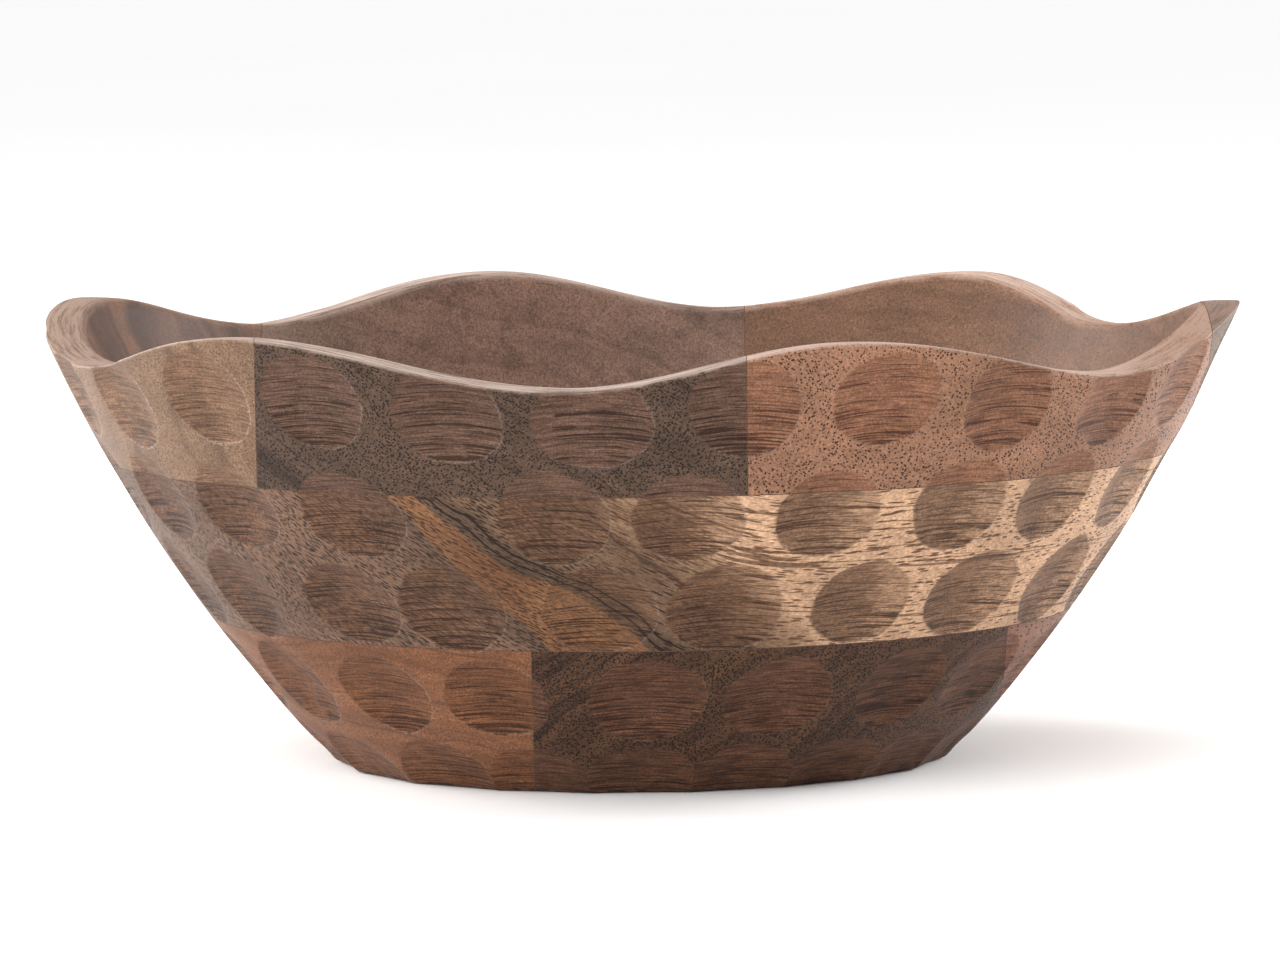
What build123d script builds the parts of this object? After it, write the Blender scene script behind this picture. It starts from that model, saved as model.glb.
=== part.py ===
from build123d import *
from math import cos, pi, radians, sin, sqrt
import os

# Carved wooden bowl, about 303 mm across and 116 mm high, in millimetres.
# It is turned from a blank of three courses of glued boards, with a wavy rim
# and five rows of shallow gouged hollows round the outside.
# The origin is the centre of the flat base, +Z is up and -Y is the front.

# Outside wall: one arc in section, centred across the axis from the wall it draws
WALL_CENTRE_R = -201.3
WALL_CENTRE_Z = 261.8
WALL_RADIUS = 382.8
BASE_EDGE = 0.8
BLANK_TOP = 122.0

# Inside: a wall that thickens downwards, and a flat floor with a broad sweep between them
RIM_THICKNESS = 10.4
INNER_MID = (111.2, 58.0)
INNER_LOW = (74.0, 12.0)
FLOOR_SWEEP = 60.0

# Rim: outer edge's height at each crest and trough, by bearing from +X, anticlockwise
RIM_TURNS = [
    (30.0, 102.8),
    (53.0, 113.9),
    (81.0, 103.4),
    (106.0, 113.9),
    (135.0, 103.3),
    (164.0, 114.9),
    (201.0, 104.6),
    (230.5, 115.5),
    (263.0, 103.9),
    (289.5, 114.5),
    (324.5, 102.1),
    (355.0, 114.3),
]
RIM_FALL = 0.09
RIM_STEP = 5.0
RIM_MEAN_RADIUS = 150.0
RIM_CUT_INNER = 128.0
RIM_CUT_OUTER = 168.0

# Courses of boards, and the glue between them
LOWER_TOP = 38.4
MIDDLE_TOP = 77.9
GLUE = 0.2
# Joints of the upper course run front to back: x at the front wall and at the back wall
UPPER_LEFT_JOINT = (-90.9, -101.0)
UPPER_RIGHT_JOINT = (25.5, 28.7)
UPPER_TIP_JOINT = (141.9, 141.9)
# Joints of the middle course run across: y at the left wall and at the right wall
MIDDLE_FRONT_JOINT = (-18.0, -18.0)
MIDDLE_BACK_JOINT = (85.0, 85.0)
# Joints of the lower course run front to back
LOWER_LEFT_JOINT = (-26.7, -26.7)
LOWER_RIGHT_JOINT = (90.0, 90.0)
JOINT_GAUGE = 140.0
REACH = 220.0

# Gouged hollows: the cap of a barrel-shaped cutter, rounder up the wall than along it
CUTTER_RADIUS = 85.0
CUTTER_BELLY = 54.0
CUTTER_HALF_LENGTH = 22.0
CAP_HALF = 14.8
CAP_THICKNESS = 6.0
CUTTER_REACH = 20.0
# Each row: height, depth, how far it follows the rim's waves, the front's bearings, and
# how many more are spread evenly round the back
HOLLOW_ROWS = [
    (98.4, 1.8, 0.4, [194, 209, 224, 237.5, 251.5, 265.5, 280, 294, 308, 324, 338], 14),
    (72.5, 1.8, 0.0, [206, 221.5, 238, 261, 275, 290, 306, 320.5, 336.5], 14),
    (49.0, 1.8, 0.0, [197.5, 213.5, 233, 247, 265, 280, 297, 313.5, 331], 13),
    (25.3, 1.8, 0.0, [211, 230.5, 249, 270.5, 289.5, 309.5, 327], 12),
    (3.0, 1.5, 0.0, [212, 233.5, 251.5, 269.5, 287.5, 305, 322], 13),
]


def wall_radius(z):
    """Outside radius of the bowl at a height."""
    return WALL_CENTRE_R + sqrt(WALL_RADIUS**2 - (z - WALL_CENTRE_Z) ** 2)


def rim_height(bearing):
    """Height of the rim's outer edge: half a cosine from each turn to the next."""
    turns = [(RIM_TURNS[-1][0] - 360, RIM_TURNS[-1][1])]
    turns += RIM_TURNS
    turns += [(RIM_TURNS[0][0] + 360, RIM_TURNS[0][1])]
    bearing = bearing % 360
    for (start, low), (end, high) in zip(turns, turns[1:]):
        if start <= bearing <= end:
            share = (1 - cos(pi * (bearing - start) / (end - start))) / 2
            return low + (high - low) * share
    raise ValueError(bearing)


def turned_blank():
    """The turned bowl before its rim is cut: outside arc, inside arc and floor."""
    base = wall_radius(0)
    outer_mid = BLANK_TOP / 2
    top = wall_radius(BLANK_TOP)
    inner_top = (top - RIM_THICKNESS, BLANK_TOP)
    edge = wall_radius(BASE_EDGE)
    outline = [
        Line((0, 0), (base - BASE_EDGE, 0)),
        Line((base - BASE_EDGE, 0), (edge, BASE_EDGE)),
        ThreePointArc((edge, BASE_EDGE), (wall_radius(outer_mid), outer_mid), (top, BLANK_TOP)),
        Line((top, BLANK_TOP), inner_top),
        ThreePointArc(inner_top, INNER_MID, INNER_LOW),
        Line(INNER_LOW, (0, INNER_LOW[1])),
        Line((0, INNER_LOW[1]), (0, 0)),
    ]
    section = make_face(outline)
    corner = section.vertices().sort_by_distance(INNER_LOW)[0]
    section = fillet(corner, FLOOR_SWEEP)
    return revolve(Plane.XZ * section, Axis.Z)


def rim_cutter():
    """Everything above the wavy rim, whose top slopes down towards the outside."""

    def closed_wave(radius):
        points = []
        for step in range(int(360 / RIM_STEP)):
            bearing = step * RIM_STEP
            height = rim_height(bearing) - RIM_FALL * (radius - RIM_MEAN_RADIUS)
            points.append((radius * cos(radians(bearing)), radius * sin(radians(bearing)), height))
        return Spline(*points, periodic=True)

    top = Face.make_surface_from_curves(closed_wave(RIM_CUT_INNER), closed_wave(RIM_CUT_OUTER))
    return extrude(top, amount=BLANK_TOP, dir=(0, 0, 1))


def hollow_cutter():
    """The working cap of the barrel: its lowest point is the origin, and it cuts towards -X."""
    ring = CUTTER_RADIUS - CUTTER_BELLY
    end = ring + sqrt(CUTTER_BELLY**2 - CUTTER_HALF_LENGTH**2)
    outline = [
        Line((0, -CUTTER_HALF_LENGTH), (end, -CUTTER_HALF_LENGTH)),
        ThreePointArc((end, -CUTTER_HALF_LENGTH), (CUTTER_RADIUS, 0), (end, CUTTER_HALF_LENGTH)),
        Line((end, CUTTER_HALF_LENGTH), (0, CUTTER_HALF_LENGTH)),
        Line((0, CUTTER_HALF_LENGTH), (0, -CUTTER_HALF_LENGTH)),
    ]
    barrel = revolve(Plane.XZ * make_face(outline), Axis.Z)
    block = Pos(CAP_THICKNESS / 2, 0, 0) * Box(CAP_THICKNESS, 2 * CAP_HALF, 2 * CAP_HALF)
    return (Pos(CUTTER_RADIUS, 0, 0) * Rot(0, 0, 180) * barrel) & block


def hollow_places():
    """Bearing, height and depth of every hollow."""
    mean_rim = sum(height for _, height in RIM_TURNS) / len(RIM_TURNS)
    places = []
    for height, depth, follow, front, spread in HOLLOW_ROWS:
        step = (front[0] + 360 - front[-1]) / (spread + 1)
        bearings = front + [front[-1] + step * (k + 1) for k in range(spread)]
        places += [(b, height + follow * (rim_height(b) - mean_rim), depth) for b in bearings]
    return places


def placed_cutters():
    """One cutter for each hollow, pressed into the wall along its normal."""
    cap = hollow_cutter()
    cutters = []
    for bearing, z, depth in hollow_places():
        radius = wall_radius(z)
        out = (radius - WALL_CENTRE_R) / WALL_RADIUS
        down = (z - WALL_CENTRE_Z) / WALL_RADIUS
        c = cos(radians(bearing))
        s = sin(radians(bearing))
        normal = Vector(out * c, out * s, down)
        up_wall = Vector(-down * c, -down * s, out)
        surface = Vector(radius * c, radius * s, z)
        place = Plane(origin=surface - normal * depth, x_dir=normal, z_dir=up_wall)
        cutters.append((surface, place * cap))
    return cutters


def strip(first, second, z_low, z_high, across=False):
    """Prism between two joint lines of a course; None is beyond the bowl."""
    first = first or (-REACH, -REACH)
    second = second or (REACH, REACH)

    def line_ends(joint):
        slope = (joint[1] - joint[0]) / (2 * JOINT_GAUGE)
        middle = (joint[0] + joint[1]) / 2
        return middle - slope * REACH, middle + slope * REACH

    a0, a1 = line_ends(first)
    b0, b1 = line_ends(second)
    corners = [(a0, -REACH), (b0, -REACH), (b1, REACH), (a1, REACH)]
    if across:
        corners = [(y, x) for x, y in corners]
    plan = make_face(Polyline(*corners, close=True))
    prism = extrude(plan, amount=z_high - z_low, dir=(0, 0, 1))
    return Pos(0, 0, z_low) * prism


def beside(joint, side):
    """The face of a joint's glue on its first (-1) or second (+1) side."""
    return (joint[0] + side * GLUE / 2, joint[1] + side * GLUE / 2)


def carve(piece, cutters):
    """Take the hollows that reach a piece out of it."""
    box = piece.bounding_box()
    margin = Vector(CUTTER_REACH, CUTTER_REACH, CUTTER_REACH)
    low = box.min - margin
    high = box.max + margin
    near = []
    for surface, cutter in cutters:
        inside_x = low.X < surface.X < high.X
        inside_y = low.Y < surface.Y < high.Y
        inside_z = low.Z < surface.Z < high.Z
        if inside_x and inside_y and inside_z:
            near.append(cutter)
    return piece - near


def course_layer(bowl, z_low, z_high, joints, across):
    """Cut one course out of the bowl: a list of solids for each board, and its joints' glue."""
    layer = bowl & strip(None, None, z_low, z_high)
    edges = [None] + joints + [None]
    boards = []
    for first, second in zip(edges, edges[1:]):
        low = beside(first, 1) if first else None
        high = beside(second, -1) if second else None
        boards.append((layer & strip(low, high, z_low, z_high, across)).solids())
    glue = []
    for joint in joints:
        film = strip(beside(joint, -1), beside(joint, 1), z_low, z_high, across)
        glue += (layer & film).solids()
    return boards, glue


def upper_course(bowl):
    """Boards run front to back; the bowl's hollow leaves two ends of the centre board."""
    joints = [UPPER_LEFT_JOINT, UPPER_RIGHT_JOINT, UPPER_TIP_JOINT]
    boards, glue = course_layer(bowl, MIDDLE_TOP + GLUE / 2, BLANK_TOP, joints, across=False)
    left, centre, right, tip = boards
    front, back = sorted(centre, key=lambda solid: solid.center().Y)
    return {
        "upper_left_board": left,
        "upper_centre_front_board": [front],
        "upper_centre_back_board": [back],
        "upper_right_board": right,
        "upper_right_tip": tip,
        "upper_board_glue": glue,
    }


def middle_course(bowl):
    """Boards run across; the bowl's hollow leaves two ends of the centre board."""
    joints = [MIDDLE_FRONT_JOINT, MIDDLE_BACK_JOINT]
    z_low = LOWER_TOP + GLUE / 2
    z_high = MIDDLE_TOP - GLUE / 2
    boards, glue = course_layer(bowl, z_low, z_high, joints, across=True)
    front, centre, back = boards
    left, right = sorted(centre, key=lambda solid: solid.center().X)
    return {
        "middle_front_board": front,
        "middle_left_board": [left],
        "middle_right_board": [right],
        "middle_back_board": back,
        "middle_board_glue": glue,
    }


def lower_course(bowl):
    """Boards run front to back and hold the floor."""
    joints = [LOWER_LEFT_JOINT, LOWER_RIGHT_JOINT]
    boards, glue = course_layer(bowl, 0, LOWER_TOP - GLUE / 2, joints, across=False)
    left, centre, right = boards
    return {
        "lower_left_board": left,
        "lower_centre_board": centre,
        "lower_right_board": right,
        "lower_board_glue": glue,
    }


def course_glue(bowl):
    """The two flat layers of glue between the courses."""
    half = GLUE / 2
    layers = {"upper_course_glue": MIDDLE_TOP, "lower_course_glue": LOWER_TOP}
    return {
        node: (bowl & strip(None, None, z - half, z + half)).solids()
        for node, z in layers.items()
    }


def main():
    os.makedirs("parts", exist_ok=True)
    bowl = turned_blank() - rim_cutter()
    cutters = placed_cutters()
    nodes = {}
    nodes.update(upper_course(bowl))
    nodes.update(middle_course(bowl))
    nodes.update(lower_course(bowl))
    nodes.update(course_glue(bowl))
    for node, solids in nodes.items():
        carved = []
        for solid in solids:
            carved += carve(solid, cutters).solids()
        shape = carved[0] if len(carved) == 1 else Compound(carved)
        export_step(shape, f"parts/{node}.step")
        print(node, "solids", len(carved), "volume", round(shape.volume), "valid", shape.is_valid)


main()
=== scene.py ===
import math

import bmesh
import bpy
import numpy as np
from mathutils import Matrix, Vector

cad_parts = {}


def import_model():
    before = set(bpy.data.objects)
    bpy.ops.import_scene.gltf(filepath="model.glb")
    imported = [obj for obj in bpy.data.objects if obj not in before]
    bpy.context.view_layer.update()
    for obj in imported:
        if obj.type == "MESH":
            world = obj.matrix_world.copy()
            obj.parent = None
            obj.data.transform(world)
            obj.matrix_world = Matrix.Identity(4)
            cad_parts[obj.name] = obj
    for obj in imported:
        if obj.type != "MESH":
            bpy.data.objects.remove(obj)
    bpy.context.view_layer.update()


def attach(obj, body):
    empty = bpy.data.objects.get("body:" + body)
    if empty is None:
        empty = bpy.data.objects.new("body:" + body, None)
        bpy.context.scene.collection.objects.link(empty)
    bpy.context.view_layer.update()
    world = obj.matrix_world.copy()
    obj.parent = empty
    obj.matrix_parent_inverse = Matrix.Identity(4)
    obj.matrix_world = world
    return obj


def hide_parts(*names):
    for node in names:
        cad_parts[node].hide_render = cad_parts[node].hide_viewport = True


# Looks of the carved wooden bowl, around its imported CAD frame.
# Sizes are in millimetres until a mesh is made; MM turns them into metres.
# Bearings are in degrees, anticlockwise seen from above, with the front at 270.
MM = 0.001

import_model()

# ---------------------------------------------------------------- the bowl's driving dimensions
# Outside wall: one arc in section, centred across the axis
WALL_CENTRE_R = -201.3
WALL_CENTRE_Z = 261.8
WALL_RADIUS = 382.8

# Inside: wall arc, broad sweep and flat floor
INNER_CENTRE_R = -164.4
INNER_CENTRE_Z = 242.8
INNER_RADIUS = 331.8
FLOOR_Z = 12.0
FLOOR_SWEEP = 60.0

# Rim: height of the outer edge at each crest and trough, by bearing
RIM_TURNS = [
    (30.0, 102.8),
    (53.0, 113.9),
    (81.0, 103.4),
    (106.0, 113.9),
    (135.0, 103.3),
    (164.0, 114.9),
    (201.0, 104.6),
    (230.5, 115.5),
    (263.0, 103.9),
    (289.5, 114.5),
    (324.5, 102.1),
    (355.0, 114.3),
]
# How far the rim's top falls outwards for each mm across, at the troughs and at the crests
TROUGH_FALL = 0.09
CREST_FALL = -0.02
# How high the middle of the rim's top is crowned
RIM_CROWN = 0.10
# How far the rim's outer edge wavers up and down, and its inner edge in and out: mm, seed, size
OUTER_WAVER = (0.12, 3, 60.0)
INNER_WAVER = (0.06, 4, 45.0)
# Rounding of the base's edge, of the rim's inner edge and of its outer edge
BASE_EASE = 1.2
INNER_EASE = 2.0
OUTER_EASE = 0.8
# The outer edge is rounder from wear at the left end: how much, where, and how far round
WORN_EASE = 0.7
WORN_BEARING = 178.0
WORN_SPREAD = 18.0

# Courses and joints, as in the CAD model
LOWER_TOP = 38.4
MIDDLE_TOP = 77.9
GLUE = 0.2
UPPER_LEFT_JOINT = (-90.9, -101.0)
UPPER_RIGHT_JOINT = (25.5, 28.7)
UPPER_TIP_JOINT = (141.9, 141.9)
MIDDLE_FRONT_JOINT = (-18.0, -18.0)
MIDDLE_BACK_JOINT = (85.0, 85.0)
LOWER_LEFT_JOINT = (-26.7, -26.7)
LOWER_RIGHT_JOINT = (90.0, 90.0)
JOINT_GAUGE = 140.0

# Gouged hollows: height, depth, how far the row follows the rim, bearings in front, number behind
HOLLOW_ROWS = [
    (98.4, 1.8, 0.4, [194, 209, 224, 237.5, 251.5, 265.5, 280, 294, 308, 324, 338], 14),
    (72.5, 1.8, 0.0, [206, 221.5, 238, 261, 275, 290, 306, 320.5, 336.5], 14),
    (49.0, 1.8, 0.0, [197.5, 213.5, 233, 247, 265, 280, 297, 313.5, 331], 13),
    (25.3, 1.8, 0.0, [211, 230.5, 249, 270.5, 289.5, 309.5, 327], 12),
    (3.0, 1.5, 0.0, [212, 233.5, 251.5, 269.5, 287.5, 305, 322], 13),
]
HOLLOW_HALF_WIDTH = 14.0
HOLLOW_HALF_HEIGHT = 13.0
# Power of a hollow's profile, and how softly its edge and its mask begin, in mm of depth
HOLLOW_PROFILE = 2.3
HOLLOW_EDGE = 0.10
MASK_FADE = 0.15
# Depth that stands for no hollow, well above the wall
NO_HOLLOW = -9.0
# How far a hollow can reach from its centre: up or down the wall in mm, and round it in degrees
HOLLOW_REACH = 20.0
HOLLOW_SPAN = 14.0
# How much each hollow's width, height and turn (in radians) may differ from the others
HOLLOW_SEED = 11
WIDTH_SPREAD = 0.05
HEIGHT_SPREAD = 0.06
TURN_SPREAD = 0.12
# The hollows' edges wander in broad and in fine waves: mm of depth, seed and size of each
WANDER = [(0.20, 5, 22.0), (0.07, 6, 6.0)]
# Slight tool chatter on their floors: mm, seed, size
CHATTER = (0.05, 8, 9.0)

# Mesh density
COLUMNS = 1640
WALL_ROWS = 236
INNER_ROWS = 44
SWEEP_ROWS = 18
FLOOR_RINGS = 6
UNDER_RINGS = 6
CORNER_POINTS = 5
RIM_ROWS = 7

# Waves of smooth_noise: sines in each octave, and the distance round the wall that they close over
WAVES = 6
GIRTH = 900
# The surface's fields: cut (1 in a hollow), across and along (mm from its centre), mark (a number
# of its own), rim (1 on the rim's top) and inner (1 on the inside). On the rim's top, along is the
# distance from the inner edge.
FIELD_NAMES = ["cut", "across", "along", "mark", "rim", "inner"]


def wall_radius(z):
    """Outside radius of the turned wall at a height."""
    return WALL_CENTRE_R + np.sqrt(WALL_RADIUS**2 - (z - WALL_CENTRE_Z) ** 2)


def wall_length(z):
    """Distance along the wall's section, up to a constant."""
    return WALL_RADIUS * np.arcsin((z - WALL_CENTRE_Z) / WALL_RADIUS)


def inner_radius(z):
    """Inside radius of the wall above the sweep."""
    return INNER_CENTRE_R + np.sqrt(INNER_RADIUS**2 - (z - INNER_CENTRE_Z) ** 2)


def rim_height(bearing):
    """Height of the rim's outer edge: half a cosine from each turn to the next."""
    last = (RIM_TURNS[-1][0] - 360, RIM_TURNS[-1][1])
    first = (RIM_TURNS[0][0] + 360, RIM_TURNS[0][1])
    turns = np.array([last] + RIM_TURNS + [first])
    bearing = np.asarray(bearing, float) % 360
    k = np.clip(np.searchsorted(turns[:, 0], bearing) - 1, 0, len(turns) - 2)
    share = (bearing - turns[k, 0]) / (turns[k + 1, 0] - turns[k, 0])
    share = (1 - np.cos(np.pi * share)) / 2
    return turns[k, 1] + (turns[k + 1, 1] - turns[k, 1]) * share


def hollow_places():
    """Bearing, height, depth, width, height and turn of every hollow, and a number of its own."""
    rng = np.random.default_rng(HOLLOW_SEED)
    mean_rim = np.mean([height for _, height in RIM_TURNS])
    places = []
    for height, depth, follow, front, spread in HOLLOW_ROWS:
        step = (front[0] + 360 - front[-1]) / (spread + 1)
        bearings = front + [front[-1] + step * (k + 1) for k in range(spread)]
        for b in bearings:
            z = height + follow * (float(rim_height(b)) - mean_rim)
            wide = 1 + WIDTH_SPREAD * rng.uniform(-1, 1)
            tall = 1 + HEIGHT_SPREAD * rng.uniform(-1, 1)
            turn = TURN_SPREAD * rng.uniform(-1, 1)
            places.append((b, z, depth, wide, tall, turn, rng.uniform(0, 1)))
    return places


def smooth_noise(bearing, z, seed, size, octaves=2):
    """Cheap seeded waves over the wall, about -1 to 1, with features about size mm across."""
    rng = np.random.default_rng(seed)
    total = np.zeros(np.broadcast(bearing, z).shape)
    weight = 0.0
    for octave in range(octaves):
        for _ in range(WAVES):
            # whole numbers of waves round the bowl keep the pattern closed
            round_waves = int(rng.integers(1, int(GIRTH / size * 2**octave)))
            up_waves = rng.uniform(-1, 1) * 2 * np.pi / size * 2**octave
            phase = rng.uniform(0, 2 * np.pi)
            total += np.sin(np.radians(bearing) * round_waves + z * up_waves + phase) / 2**octave
            weight += 0.5 / 2**octave
    return total / weight


def hollow_field(bearing, z):
    """Depth cut into the wall, and each point's place in its hollow, on a rows x columns grid."""
    best = np.full(z.shape, NO_HOLLOW)
    across = np.zeros(z.shape)
    along = np.zeros(z.shape)
    mark = np.zeros(z.shape)
    length = wall_length(z)
    wander = sum(amount * smooth_noise(bearing[None, :], z, seed, size) for amount, seed, size in WANDER)
    for b, zc, depth, wide, tall, turn, own_mark in hollow_places():
        gap = (bearing - b + 180) % 360 - 180
        cols = np.where(np.abs(gap) < HOLLOW_SPAN)[0]
        u = np.radians(gap[cols])[None, :] * wall_radius(z[:, cols])
        w = length[:, cols] - wall_length(zc)
        rows = np.where(np.abs(w).min(axis=1) < HOLLOW_REACH)[0]
        u = u[rows]
        w = w[rows]
        pick = np.ix_(rows, cols)
        ut = (u * math.cos(turn) + w * math.sin(turn)) / (HOLLOW_HALF_WIDTH * wide)
        wt = (w * math.cos(turn) - u * math.sin(turn)) / (HOLLOW_HALF_HEIGHT * tall)
        far = np.sqrt(ut**2 + wt**2)
        cut = depth * (1 - far**HOLLOW_PROFILE) + wander[pick]
        better = cut > best[pick]
        best[pick] = np.where(better, cut, best[pick])
        across[pick] = np.where(better, u, across[pick])
        along[pick] = np.where(better, w, along[pick])
        mark[pick] = np.where(better, own_mark, mark[pick])
    deep = 0.5 * (best + np.sqrt(best**2 + HOLLOW_EDGE**2))
    inside = np.clip(best / MASK_FADE + 0.5, 0, 1)
    return deep, inside, across, along, mark


def bezier(a, p, b, count):
    """Rounded corner from a by way of p to b, each a pair of (radius, height) arrays."""
    rows = []
    for t in np.linspace(0, 1, count):
        mix = [(1 - t) ** 2 * a[k] + 2 * t * (1 - t) * p[k] + t * t * b[k] for k in (0, 1)]
        rows.append(mix)
    return rows


def outer_ease(bearing):
    """How far the rim's outer edge is rounded: most at the left end, where wear has rounded it."""
    return OUTER_EASE + WORN_EASE * np.exp(-(((bearing - WORN_BEARING) / WORN_SPREAD) ** 2))


class Rings:
    """The surface's rings of points and their fields, from the middle of the base outwards."""

    def __init__(self):
        self.places = []
        self.fields = []

    def add(self, r, z, rim=0.0, inner=0.0, cut=None):
        """One more ring; cut holds its first four fields, which are otherwise zero."""
        zero = np.zeros(COLUMNS)
        self.places.append((np.broadcast_to(r, COLUMNS), np.broadcast_to(z, COLUMNS)))
        self.fields.append(list(cut or (zero, zero, zero, zero)) + [zero + rim, zero + inner])


def carved_wall(bearing):
    """Radius, height and hollow fields of the outside wall, as rows from the base to the rim."""
    amount, seed, size = OUTER_WAVER
    top = rim_height(bearing) + amount * smooth_noise(bearing, 0.0, seed, size)
    share = np.linspace(0, 1, WALL_ROWS)[:, None]
    z_wall = BASE_EASE + (top - outer_ease(bearing) - BASE_EASE)[None, :] * share
    z = np.vstack([np.zeros(COLUMNS), z_wall, top])
    deep, *cut = hollow_field(bearing, z)
    amount, seed, size = CHATTER
    chatter = amount * smooth_noise(bearing[None, :], z, seed, size, 3)
    lean = (wall_radius(z) - WALL_CENTRE_R) / WALL_RADIUS
    r = wall_radius(z) - (deep + chatter * cut[0]) / lean
    return r, z, cut


def wall_rings(rings, r, z, cut):
    """The flat base, its rounded edge and the carved wall."""

    def cut_row(j):
        return [field[j] for field in cut]

    base = r[0] - BASE_EASE
    for k in range(1, UNDER_RINGS + 1):
        rings.add(base * k / UNDER_RINGS, 0.0)
    corner = bezier((base, 0.0), (r[0], 0.0), (r[1], z[1]), CORNER_POINTS)
    for corner_r, corner_z in corner[1:-1]:
        rings.add(corner_r, corner_z, cut=cut_row(0))
    for j in range(1, WALL_ROWS + 1):
        rings.add(r[j], z[j], cut=cut_row(j))


def rim_rings(rings, bearing, r, z, cut):
    """The rounded outer edge, the rim's top and its inner edge; returns where the inside starts."""
    outer = r[-1]
    top = z[-1]
    low_turn = min(height for _, height in RIM_TURNS)
    high_turn = max(height for _, height in RIM_TURNS)
    crest = np.clip((top - low_turn) / (high_turn - low_turn), 0, 1)
    fall = TROUGH_FALL + (CREST_FALL - TROUGH_FALL) * crest
    ease = outer_ease(bearing)
    amount, seed, size = INNER_WAVER
    inner_edge = inner_radius(top) + amount * smooth_noise(bearing, 0.0, seed, size)
    inner_top = top + fall * (outer - inner_edge)
    outer_in = (outer - ease, top + fall * ease)
    inner_out = (inner_edge + INNER_EASE, inner_top - fall * INNER_EASE)
    edge_cut = [field[-1] for field in cut]
    zero = np.zeros(COLUMNS)

    def ledge(ring_r):
        return zero, zero, ring_r - inner_edge, zero

    corner = bezier((r[-2], z[-2]), (outer, top), outer_in, CORNER_POINTS)
    for k, (ring_r, ring_z) in enumerate(corner[1:]):
        ring_cut = edge_cut if k < 2 else ledge(ring_r)
        rings.add(ring_r, ring_z, rim=(k + 1) / (CORNER_POINTS - 1), cut=ring_cut)
    for t in np.linspace(0, 1, RIM_ROWS)[1:-1]:
        crown = RIM_CROWN * math.sin(math.pi * t)
        ring_r = outer_in[0] + (inner_out[0] - outer_in[0]) * t
        ring_z = outer_in[1] + (inner_out[1] - outer_in[1]) * t + crown
        rings.add(ring_r, ring_z, rim=1.0, cut=ledge(ring_r))
    low = inner_top - INNER_EASE
    corner = bezier(inner_out, (inner_edge, inner_top), (inner_radius(low), low), CORNER_POINTS)
    for k, (ring_r, ring_z) in enumerate(corner[:-1]):
        part = k / (CORNER_POINTS - 1)
        rings.add(ring_r, ring_z, rim=1 - part, inner=part, cut=ledge(ring_r))
    return low


def inside_rings(rings, low):
    """The inside wall, the broad sweep and the flat floor."""
    sweep_z = FLOOR_Z + FLOOR_SWEEP
    reach = (INNER_RADIUS - FLOOR_SWEEP) ** 2 - (sweep_z - INNER_CENTRE_Z) ** 2
    sweep_r = INNER_CENTRE_R + math.sqrt(reach)
    sweep_end = math.atan2(sweep_z - INNER_CENTRE_Z, sweep_r - INNER_CENTRE_R)
    z_join = INNER_CENTRE_Z + INNER_RADIUS * math.sin(sweep_end)
    for t in np.linspace(0, 1, INNER_ROWS):
        z = low + (z_join - low) * t
        rings.add(inner_radius(z), z, inner=1.0)
    for t in np.linspace(0, 1, SWEEP_ROWS)[1:]:
        angle = sweep_end + (-math.pi / 2 - sweep_end) * t
        r = sweep_r + FLOOR_SWEEP * math.cos(angle)
        rings.add(r, sweep_z + FLOOR_SWEEP * math.sin(angle), inner=1.0)
    for k in range(1, FLOOR_RINGS):
        rings.add(sweep_r * (FLOOR_RINGS - k) / FLOOR_RINGS, FLOOR_Z, inner=1.0)


def ring_faces(count):
    """Quads between the rings, and the two fans that close the base and the floor."""
    j = np.arange(count - 1)[:, None]
    i = np.arange(COLUMNS)[None, :]
    nxt = (i + 1) % COLUMNS
    quads = np.stack(
        [j * COLUMNS + i, j * COLUMNS + nxt, (j + 1) * COLUMNS + nxt, (j + 1) * COLUMNS + i],
        axis=-1,
    ).reshape(-1, 4)
    ring = np.arange(COLUMNS)
    after = (ring + 1) % COLUMNS
    under_pole = count * COLUMNS
    floor_pole = under_pole + 1
    last = (count - 1) * COLUMNS
    under = np.stack([after, ring, ring * 0 + under_pole], axis=-1)
    floor = np.stack([last + ring, last + after, ring * 0 + floor_pole], axis=-1)
    return quads, np.vstack([under, floor])


def master_surface():
    """The whole bowl as one closed grid: vertices in mm, faces, and per-vertex fields."""
    bearing = np.arange(COLUMNS) * 360.0 / COLUMNS
    rings = Rings()
    r, z, cut = carved_wall(bearing)
    wall_rings(rings, r, z, cut)
    low = rim_rings(rings, bearing, r, z, cut)
    inside_rings(rings, low)

    r, z = np.array(rings.places).transpose(1, 0, 2)
    c = np.cos(np.radians(bearing))[None, :]
    s = np.sin(np.radians(bearing))[None, :]
    verts = np.stack([r * c, r * s, z], axis=-1).reshape(-1, 3)
    verts = np.vstack([verts, [[0, 0, 0], [0, 0, FLOOR_Z]]])
    fields = np.array(rings.fields).transpose(1, 0, 2).reshape(len(FIELD_NAMES), -1)
    poles = np.zeros((len(FIELD_NAMES), 2))
    poles[FIELD_NAMES.index("inner"), 1] = 1.0
    quads, tris = ring_faces(len(rings.places))
    return verts, quads, tris, np.hstack([fields, poles])


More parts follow.
